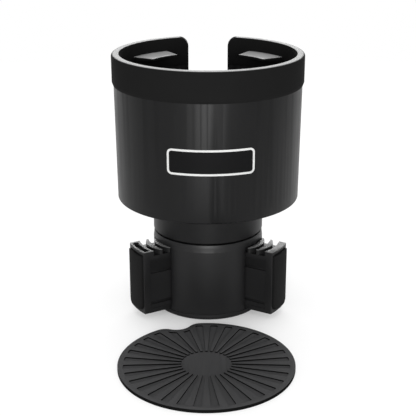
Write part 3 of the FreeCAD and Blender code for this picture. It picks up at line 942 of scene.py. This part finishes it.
@dataclass
class Coaster:
    """Rubber mat with raised spokes and rim, a bare middle and a thumb notch.

    Attributes:
        radius: Its radius.
        thick: Its thickness.
        recess: Depth of the middle and of the petals between the spokes.
        centre: Where it lies in front of the base.
        spokes: Number of spokes.
        first_petal: Azimuth of the first petal.
        hub_share: Radius of the middle as a share of the mat's.
        petal_share: Radius of the petals' ends, as such a share.
        petal_corner: Rounding of the petals' outer corners.
        petal_parts: Parts of that rounding.
        notch_azimuth: The notch's azimuth.
        notch_radius: Its radius.
        notch_depth: Its depth from the edge.
        notch_blend: Rounding where it meets the edge.
        edge_parts: Parts of the edge.
        blend_parts: Parts of each blend.
        notch_parts: Parts of the notch.
        rim_parts: Parts of the rim's circle round the notch.
        ease: Rounding of the sharp edges.
        wall_below: A face with less than this upward share is a wall, which gets painted shade.
    """

    radius: float = 45.8 * MM
    thick: float = 1.8 * MM
    recess: float = 0.75 * MM
    centre: Point = (-0.8 * MM, -84.5 * MM)
    spokes: int = 32
    first_petal: float = math.radians(5.625)
    hub_share: float = 0.285
    petal_share: float = 0.937
    petal_corner: float = 0.9 * MM
    petal_parts: int = 5
    notch_azimuth: float = math.radians(110.0)
    notch_radius: float = 8.5 * MM
    notch_depth: float = 5.4 * MM
    notch_blend: float = 7.5 * MM
    edge_parts: int = 150
    blend_parts: int = 8
    notch_parts: int = 10
    rim_parts: int = 64
    ease: float = 0.14 * MM
    wall_below: float = 0.6

    def notch_reach(self) -> float:
        """How far the notch's centre lies from the mat's."""
        return self.radius + self.notch_radius - self.notch_depth

    def edge(self) -> list[Vector]:
        """Draws the outline: a circle with a notch and two blends, turned to its azimuth.

        Returns:
            Its points.
        """
        reach = self.notch_reach()
        inner = self.radius - self.notch_blend
        outer = self.notch_radius + self.notch_blend
        turn = math.acos((inner ** 2 + reach ** 2 - outer ** 2) / (2 * inner * reach))
        across, along = inner * math.cos(turn), inner * math.sin(turn)
        lean = math.atan2(along, reach - across)
        points = arc((0.0, 0.0), self.radius, turn, 2 * math.pi - turn, self.edge_parts)
        points += arc((across, -along), self.notch_blend, -turn, lean, self.blend_parts)[1:]
        notch = arc((reach, 0.0), self.notch_radius, math.pi + lean, math.pi - lean, self.notch_parts)
        points += notch[1:]
        points += arc((across, along), self.notch_blend, -lean, turn, self.blend_parts)[1:-1]
        spin = Matrix.Rotation(self.notch_azimuth, 3, "Z")
        return [spin @ Vector((x, y, 0.0)) for x, y in points]

    def petals(self) -> list[Vector]:
        """Draws the sunk middle with the petals between the spokes as one outline.

        Returns:
            Its points, at the height of the sunk floor.
        """
        pitch = 2 * math.pi / self.spokes
        slope = math.tan(pitch / 4)
        hub, end = self.radius * self.hub_share, self.radius * self.petal_share
        petal = rounded([
            (hub, -hub * slope, 0.0),
            (end, -end * slope, self.petal_corner),
            (end, end * slope, self.petal_corner),
            (hub, hub * slope, 0.0),
        ], self.petal_parts)
        petal.append((hub * math.cos(pitch / 2), hub * math.sin(pitch / 2)))
        points = []
        for index in range(self.spokes):
            spin = Matrix.Rotation(self.first_petal + index * pitch, 3, "Z")
            points += [spin @ Vector((x, y, self.thick - self.recess)) for x, y in petal]
        return points

    def hollow(self) -> bpy.types.Object:
        """Models the tool for the sunk middle and the petals, less the rim round the notch.

        Returns:
            The tool.
        """
        tool = Bench.prism("hollow_tool", self.petals(), Vector((0, 0, self.thick)))
        reach = self.notch_reach()
        middle = (reach * math.cos(self.notch_azimuth), reach * math.sin(self.notch_azimuth))
        rim = self.notch_radius + self.radius * (1 - self.petal_share)
        circle = [Vector((x, y, 0.0)) for x, y in arc(middle, rim, 0.0, 2 * math.pi, self.rim_parts)[:-1]]
        Bench.cut(tool, Bench.prism("notch_rim", circle, Vector((0, 0, 3 * self.thick))))
        return tool

    def is_wall(self, face: bpy.types.MeshPolygon) -> bool:
        """Tells whether a face is steep."""
        return abs(face.normal.z) < self.wall_below

    def build(self, finishes: Finishes) -> None:
        """Models the mat and lays it in front of the base.

        Args:
            finishes: The scene's materials.
        """
        mat = Bench.prism("cup_mat", self.edge(), Vector((0.0, 0.0, self.thick)))
        Bench.cut(mat, self.hollow())
        Bench.soften(mat, self.ease)
        finishes.dress(mat, COASTER_RUBBER)
        # The steep walls get painted shade.
        finishes.tint(mat, COASTER_WALL_SHADE, self.is_wall)
        mat.data.transform(Matrix.Translation((*self.centre, 0.0)))
        fitted(mat, Body.BASE, "coaster")


@dataclass
class JawPad:
    """Rubber pad in a jaw's outer face, curved about the base's axis.

    Attributes:
        side: The jaw's side.
        body: The jaw's body.
        azimuth: The jaw's azimuth in radians.
        half_width: Half of the pad's width.
        low: Height of its lower end.
        top: Height of its upper end.
        corner: Rounding of its two lower corners.
        corner_parts: Parts of that rounding.
        back: Radius of its back.
        face: Radius of its outer face.
        bend_parts: Parts of its bend.
        ease: Rounding of its edges.
        ease_parts: Parts of that rounding.
    """

    side: str
    body: Body
    azimuth: float
    half_width: float = 7.4 * MM
    low: float = 5.0 * MM
    top: float = 38.3 * MM
    corner: float = 3.0 * MM
    corner_parts: int = 6
    back: float = 46.0 * MM
    face: float = 48.1 * MM
    bend_parts: int = 8
    ease: float = 0.4 * MM
    ease_parts: int = 3

    def build(self, finishes: Finishes) -> None:
        """Models the pad flat, bends it and softens its edges.

        Args:
            finishes: The scene's materials.
        """
        flat = rounded([
            (-self.half_width, self.top, 0.0),
            (-self.half_width, self.low, self.corner),
            (self.half_width, self.low, self.corner),
            (self.half_width, self.top, 0.0),
        ], self.corner_parts)
        points = [Vector((self.back, across, height)) for across, height in flat]
        pad = Bench.prism("pad_" + self.side, points, Vector((self.face - self.back, 0.0, 0.0)))
        Bench.columns(pad, self.half_width - self.corner, self.bend_parts, Vector((0.0, 1.0, 0.0)))
        for vertex in pad.data.vertices:
            vertex.co.x = math.sqrt(vertex.co.x ** 2 - vertex.co.y ** 2)
        Bench.soften(pad, self.ease, self.ease_parts)
        Bench.turned(pad, self.azimuth)
        finishes.dress(pad, PAD_RUBBER)
        fitted(pad, self.body, "jaw_pad_" + self.side)


@dataclass
class Moulding:
    """A CAD moulding with its sharp edges eased, as moulded plastic has them.

    Attributes:
        node: The CAD node.
        body: The body that it moves with.
        slot: Its material slot; not used.
        finish: Its finish.
        creases: Heights at which its edges stay crisp.
        ease: Rounding of its sharp edges.
        level: How near to a crease's height its corners lie.
    """

    node: str
    body: Body
    slot: Slot
    finish: Moulded
    creases: tuple[float, ...] = ()
    ease: float = 0.22 * MM
    level: float = 0.02 * MM

    def build(self, finishes: Finishes) -> None:
        """Models the moulding on a welded copy of its node.

        Args:
            finishes: The scene's materials.
        """
        piece = Bench.twin("moulded_" + self.node, self.node)
        Bench.soften(piece, self.ease)
        for height in self.creases:
            near = [abs(vertex.co.z - height) < self.level for vertex in piece.data.vertices]
            for edge in piece.data.edges:
                if all(near[index] for index in edge.vertices):
                    edge.use_edge_sharp = True
        finishes.dress(piece, self.finish)
        fitted(piece, self.body, self.node)


@dataclass
class Label:
    """Bare label on the cup's front: a dark field in a raised pale border.

    Attributes:
        width: Its width along the cup.
        height: Its height.
        border: Width of the border.
        corner: Rounding of its corners.
        corner_parts: Parts of that rounding.
        thick: Thickness of the border.
        sunk_share: Depth of the field as a share of that thickness.
        middle: Height of its middle.
        azimuth: How far to the right of the front it sits.
        cup_radius: The cup's radius there.
        bend_parts: Parts of its bend.
    """

    width: float = 46.8 * MM
    height: float = 13.9 * MM
    border: float = 1.1 * MM
    corner: float = 2.6 * MM
    corner_parts: int = 6
    thick: float = 0.35 * MM
    sunk_share: float = 0.3
    middle: float = 99.1 * MM
    azimuth: float = math.radians(1.8)
    cup_radius: float = 51.68 * MM
    bend_parts: int = 48

    def is_field(self, face: bpy.types.MeshPolygon) -> bool:
        """Tells whether a face of the flat label belongs to its sunk field."""
        return faces_up(face) and face.center.z < (1 - self.sunk_share / 2) * self.thick

    def build(self, finishes: Finishes) -> None:
        """Models the label flat, dresses it and bends it round the cup.

        Args:
            finishes: The scene's materials.
        """
        half_x, half_y = self.width / 2, self.height / 2
        flat = rounded([
            (-half_x, half_y, self.corner),
            (-half_x, -half_y, self.corner),
            (half_x, -half_y, self.corner),
            (half_x, half_y, self.corner),
        ], self.corner_parts)
        points = [Vector((x, y, 0.0)) for x, y in flat]
        label = Bench.prism("front_label", points, Vector((0, 0, self.thick)))
        Bench.choose(label, faces_up)
        bpy.ops.mesh.inset(thickness=self.border, depth=0)
        sink = (0, 0, -self.sunk_share * self.thick)
        bpy.ops.mesh.extrude_region_move(TRANSFORM_OT_translate={"value": sink})
        bpy.ops.object.mode_set(mode="OBJECT")
        Bench.columns(label, half_x - self.corner, self.bend_parts, Vector((1.0, 0.0, 0.0)))
        finishes.dress(label, LABEL_BORDER)
        finishes.tint(label, LABEL_FIELD, self.is_field)
        for vertex in label.data.vertices:
            angle = self.azimuth + vertex.co.x / self.cup_radius
            radius = self.cup_radius + vertex.co.z
            height = self.middle + vertex.co.y
            vertex.co = Vector((radius * math.sin(angle), -radius * math.cos(angle), height))
        Bench.smooth(label)
        fitted(label, Body.CUP)


@dataclass(frozen=True)
class SoftBox:
    """Soft box of the studio.

    Attributes:
        name: Its name.
        place: Its centre.
        aim: The point that it faces.
        size: Width and height in metres.
        power: Watts.
    """

    name: str
    place: tuple[float, float, float]
    aim: tuple[float, float, float]
    size: tuple[float, float]
    power: float

    def hang(self) -> None:
        """Adds the lamp, unseen by the camera."""
        data = bpy.data.lights.new(self.name, "AREA")
        data.shape = "RECTANGLE"
        data.size, data.size_y = self.size
        data.energy = self.power
        lamp = bpy.data.objects.new(self.name, data)
        lamp.location = self.place
        lamp.rotation_euler = (Vector(self.aim) - Vector(self.place)).to_track_quat("-Z", "Y").to_euler()
        lamp.visible_camera = False
        bpy.context.scene.collection.objects.link(lamp)


SOFT_BOXES = (
    SoftBox("overhead", place=(0.0, 0.1, 1.1), aim=(0.0, 0.0, 0.09), size=(1.0, 0.8), power=5.0),
    SoftBox("behind", place=(0.0, 1.2, 0.55), aim=(0.0, 0.0, 0.09), size=(1.2, 0.5), power=14.0),
    SoftBox("front_box", place=(0.0, -1.3, 0.25), aim=(0.0, 0.0, 0.25), size=(0.5, 0.5), power=17.0),
)


@dataclass
class Studio:
    """Pale floor, soft studio light and the camera fitted to the photo.

    Attributes:
        camera_back: How far the camera stands in front of the axis.
        camera_height: Its height.
        camera_down: How far it looks down.
        lens: Its focal length in millimetres.
        sensor: Its sensor's width in millimetres.
        clip_start: The nearest that it sees.
        floor_half: Half of the floor's side.
        floor_drop: How far the floor lies under the base.
        floor_tone: The floor's own tone.
        white_least: Share of plain white that the camera sees at the axis.
        near_start: Distance from the axis at which more white sets in.
        near_fade: Distance over which it does.
        near_white: How much it adds.
        far_start: Distance at which the last white sets in.
        far_fade: Distance over which it does.
        far_white: How much it adds, up to all white.
        world_light: Strength with which the world lights.
    """

    camera_back: float = 0.53332
    camera_height: float = 0.24780
    camera_down: float = 0.345
    lens: float = 84.937
    sensor: float = 36.0
    clip_start: float = 10 * MM
    floor_half: float = 4.0
    floor_drop: float = 0.1 * MM
    floor_tone: float = 0.86
    white_least: float = 0.22
    near_start: float = 0.03
    near_fade: float = 1 / 30
    near_white: float = 0.42
    far_start: float = 0.25
    far_fade: float = 0.5
    far_white: float = 0.36
    world_light: float = 0.65

    def camera(self) -> None:
        """Adds the camera."""
        data = bpy.data.cameras.new("camera")
        data.lens = self.lens
        data.sensor_width = self.sensor
        data.clip_start = self.clip_start
        camera = bpy.data.objects.new("camera", data)
        camera.location = (0.0, -self.camera_back, self.camera_height)
        camera.rotation_euler = (math.pi / 2 - self.camera_down, 0.0, 0.0)
        bpy.context.scene.collection.objects.link(camera)
        bpy.context.scene.camera = camera

    def floor_material(self) -> bpy.types.Material:
        """Builds a pale floor that turns white for the camera away from the object.

        Returns:
            The material.
        """
        graph = Graph.of_material("floor_white")
        tone = (self.floor_tone, self.floor_tone, self.floor_tone, 1.0)
        diffuse = graph.node("ShaderNodeBsdfDiffuse", None, {"Color": tone})
        white = graph.node("ShaderNodeEmission", None, {"Color": WHITE, "Strength": 1.0})
        shown = Socket(graph, graph.node("ShaderNodeLightPath").outputs["Is Camera Ray"])
        length = graph.node("ShaderNodeVectorMath", {"operation": "LENGTH"}, {0: graph.place()})
        reach = Socket(graph, length.outputs["Value"])
        near = reach.ramp(self.near_start, self.near_fade)
        far = reach.ramp(self.far_start, self.far_fade)
        share = self.white_least + self.near_white * near + self.far_white * far
        inputs = {0: shown * share, 1: diffuse.outputs[0], 2: white.outputs[0]}
        both = graph.node("ShaderNodeMixShader", None, inputs)
        graph.node("ShaderNodeOutputMaterial", None, {"Surface": both.outputs[0]})
        return graph.owner

    def floor(self) -> None:
        """Adds the floor, which keeps the object's shadow."""
        Bench.clear()
        bpy.ops.mesh.primitive_plane_add(size=2 * self.floor_half, location=(0, 0, -self.floor_drop))
        floor = bpy.context.object
        floor.name = "floor"
        Bench.settle(floor)
        floor.data.materials.append(self.floor_material())

    def world(self) -> None:
        """Sets a world that is white where it is seen or reflected, and softer where it lights."""
        graph = Graph.of_world("studio")
        rays = graph.node("ShaderNodeLightPath").outputs
        shown = Socket(graph, rays["Is Camera Ray"])
        shown = shown.most(Socket(graph, rays["Is Glossy Ray"]))
        shown = shown.most(Socket(graph, rays["Is Transmission Ray"]))
        strength = self.world_light + (1 - self.world_light) * shown
        back = graph.node("ShaderNodeBackground", None, {"Color": WHITE, "Strength": strength})
        graph.node("ShaderNodeOutputWorld", None, {"Surface": back.outputs[0]})
        bpy.context.scene.world = graph.owner

    def build(self) -> None:
        """Sets up camera, floor, world, lamps and the view."""
        self.camera()
        self.floor()
        self.world()
        for box in SOFT_BOXES:
            box.hang()
        bpy.context.scene.view_settings.view_transform = "Standard"
        Bench.clear()


def main() -> None:
    """Builds and dresses everything, and logs each piece."""
    logging.basicConfig(level=logging.INFO, format="%(name)s: %(message)s")
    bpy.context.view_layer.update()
    finishes = Finishes()
    for finish, names in NODES_BY_FINISH.items():
        for name in names:
            finishes.dress(frame["nodes"][name], finish)
            LOG.info("dressed %s", name)
    ring = GripRing()
    ring.build(finishes)
    Cup(ring).build(finishes)
    Coaster().build(finishes)
    for side, body, azimuth in JAWS:
        JawPad(side, body, math.radians(azimuth)).build(finishes)
        Moulding("jaw_" + side, body, Slot.JAW, JAW_PLASTIC).build(finishes)
    Moulding("base_housing", Body.BASE, Slot.MOULDING, BODY_PLASTIC, SHOULDER_BAND).build(finishes)
    Label().build(finishes)
    Studio().build()


if __name__ == "__main__":
    main()
